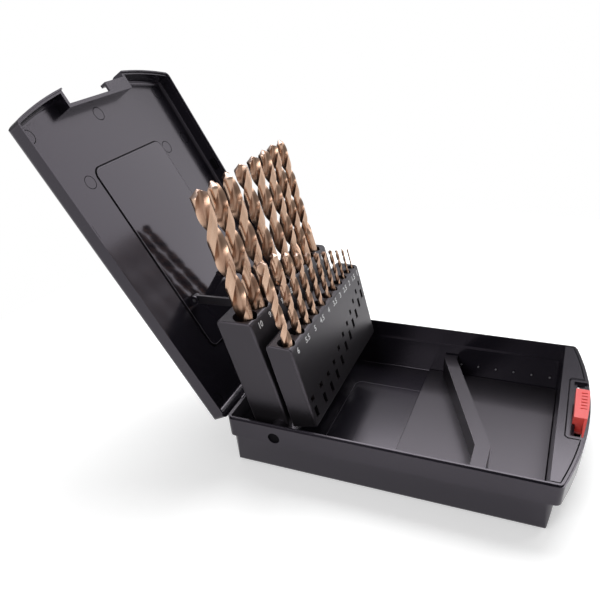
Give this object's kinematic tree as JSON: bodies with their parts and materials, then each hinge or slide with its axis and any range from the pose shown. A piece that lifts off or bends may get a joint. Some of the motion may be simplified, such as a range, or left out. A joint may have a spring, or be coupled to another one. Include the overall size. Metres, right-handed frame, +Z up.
{
  "type": "drill bit case",
  "caption": "Hinged plastic case standing open, with linked tilting racks that lift a full set of twist drills, and a sliding latch",
  "frame": {"origin": "middle of the tray's flat underside", "axes": "+X from the hinge to the latch, +Y from the near side to the far side along the hinge, +Z up"},
  "size_m": [0.3066, 0.138, 0.2134],
  "materials": {
    "case_plastic": "semi-gloss moulded",
    "rack_plastic": "satin moulded",
    "rest_plastic": "satin moulded",
    "link_plastic": "satin moulded",
    "latch_plastic": "semi-gloss moulded",
    "pin_steel": "drawn wire",
    "drill_steel": "ground and bronze oxide"
  },
  "bodies": {
    "case_base": {"tray": "case_plastic", "drill_rest": "rest_plastic", "hinge_pins": "pin_steel"},
    "lid": {"lid": "case_plastic", "lid_link_pins": "pin_steel"},
    "racks": {"rack_rear": "rack_plastic", "rack_front": "rack_plastic", "rack_pivot_pins": "link_plastic", "rack_link_pins": "pin_steel"},
    "link_near": {"link_near": "link_plastic"},
    "link_far": {"link_far": "link_plastic"},
    "latch": {"latch": "latch_plastic"},
    "drill_10_0": {"drill_10_0": "drill_steel"},
    "drill_9_5": {"drill_9_5": "drill_steel"},
    "drill_9_0": {"drill_9_0": "drill_steel"},
    "drill_8_5": {"drill_8_5": "drill_steel"},
    "drill_8_0": {"drill_8_0": "drill_steel"},
    "drill_7_5": {"drill_7_5": "drill_steel"},
    "drill_7_0": {"drill_7_0": "drill_steel"},
    "drill_6_5": {"drill_6_5": "drill_steel"},
    "drill_6_0": {"drill_6_0": "drill_steel"},
    "drill_5_5": {"drill_5_5": "drill_steel"},
    "drill_5_0": {"drill_5_0": "drill_steel"},
    "drill_4_5": {"drill_4_5": "drill_steel"},
    "drill_4_0": {"drill_4_0": "drill_steel"},
    "drill_3_5": {"drill_3_5": "drill_steel"},
    "drill_3_0": {"drill_3_0": "drill_steel"},
    "drill_2_5": {"drill_2_5": "drill_steel"},
    "drill_2_0": {"drill_2_0": "drill_steel"},
    "drill_1_5": {"drill_1_5": "drill_steel"},
    "drill_1_0": {"drill_1_0": "drill_steel"}
  },
  "joints": [
    {"name": "lid_hinge", "type": "hinge", "parent": "case_base", "child": "lid", "pos_m": [-0.1015, 0, 0.0357], "axis": [0, 1, 0], "range_deg": [0, 118]},
    {"name": "rack_tilt", "type": "hinge", "parent": "case_base", "child": "racks", "pos_m": [-0.0706, 0, 0.0276], "axis": [0, 1, 0], "range_deg": [0, 103.01]},
    {"name": "link_near_pivot", "type": "hinge", "parent": "lid", "child": "link_near", "pos_m": [-0.13672, -0.0266, 0.09172], "axis": [0, 1, 0], "range_deg": [-111.61, 0]},
    {"name": "link_far_pivot", "type": "hinge", "parent": "lid", "child": "link_far", "pos_m": [-0.13672, 0.0189, 0.09172], "axis": [0, 1, 0], "range_deg": [-111.61, 0]},
    {"name": "latch_slide", "type": "slide", "parent": "case_base", "child": "latch", "axis": [0, 1, 0], "range_m": [0, 0.016]},
    {"name": "drill_10_0_slide", "type": "slide", "parent": "racks", "child": "drill_10_0", "axis": [0.2385, 0, -0.9711], "range_m": [-0.0596, 0]},
    {"name": "drill_9_5_slide", "type": "slide", "parent": "racks", "child": "drill_9_5", "axis": [0.2385, 0, -0.9711], "range_m": [-0.0516, 0]},
    {"name": "drill_9_0_slide", "type": "slide", "parent": "racks", "child": "drill_9_0", "axis": [0.2385, 0, -0.9711], "range_m": [-0.0516, 0]},
    {"name": "drill_8_5_slide", "type": "slide", "parent": "racks", "child": "drill_8_5", "axis": [0.2385, 0, -0.9711], "range_m": [-0.0436, 0]},
    {"name": "drill_8_0_slide", "type": "slide", "parent": "racks", "child": "drill_8_0", "axis": [0.2385, 0, -0.9711], "range_m": [-0.0436, 0]},
    {"name": "drill_7_5_slide", "type": "slide", "parent": "racks", "child": "drill_7_5", "axis": [0.2385, 0, -0.9711], "range_m": [-0.0356, 0]},
    {"name": "drill_7_0_slide", "type": "slide", "parent": "racks", "child": "drill_7_0", "axis": [0.2385, 0, -0.9711], "range_m": [-0.0356, 0]},
    {"name": "drill_6_5_slide", "type": "slide", "parent": "racks", "child": "drill_6_5", "axis": [0.2385, 0, -0.9711], "range_m": [-0.0276, 0]},
    {"name": "drill_6_0_slide", "type": "slide", "parent": "racks", "child": "drill_6_0", "axis": [0.2164, 0, -0.9763], "range_m": [-0.0436, 0]},
    {"name": "drill_5_5_slide", "type": "slide", "parent": "racks", "child": "drill_5_5", "axis": [0.2164, 0, -0.9763], "range_m": [-0.0446, 0]},
    {"name": "drill_5_0_slide", "type": "slide", "parent": "racks", "child": "drill_5_0", "axis": [0.2164, 0, -0.9763], "range_m": [-0.0423, 0]},
    {"name": "drill_4_5_slide", "type": "slide", "parent": "racks", "child": "drill_4_5", "axis": [0.2164, 0, -0.9763], "range_m": [-0.0414, 0]},
    {"name": "drill_4_0_slide", "type": "slide", "parent": "racks", "child": "drill_4_0", "axis": [0.2164, 0, -0.9763], "range_m": [-0.0413, 0]},
    {"name": "drill_3_5_slide", "type": "slide", "parent": "racks", "child": "drill_3_5", "axis": [0.2164, 0, -0.9763], "range_m": [-0.0407, 0]},
    {"name": "drill_3_0_slide", "type": "slide", "parent": "racks", "child": "drill_3_0", "axis": [0.2164, 0, -0.9763], "range_m": [-0.0351, 0]},
    {"name": "drill_2_5_slide", "type": "slide", "parent": "racks", "child": "drill_2_5", "axis": [0.2164, 0, -0.9763], "range_m": [-0.034, 0]},
    {"name": "drill_2_0_slide", "type": "slide", "parent": "racks", "child": "drill_2_0", "axis": [0.2164, 0, -0.9763], "range_m": [-0.0296, 0]},
    {"name": "drill_1_5_slide", "type": "slide", "parent": "racks", "child": "drill_1_5", "axis": [0.2164, 0, -0.9763], "range_m": [-0.0234, 0]},
    {"name": "drill_1_0_slide", "type": "slide", "parent": "racks", "child": "drill_1_0", "axis": [0.2164, 0, -0.9763], "range_m": [-0.0206, 0]}
  ],
  "couplings": [
    {"joint": "rack_tilt", "follows": "lid_hinge", "ratio": 0.87288},
    {"joint": "link_near_pivot", "follows": "lid_hinge", "ratio": -0.94576},
    {"joint": "link_far_pivot", "follows": "lid_hinge", "ratio": -0.94576}
  ]
}
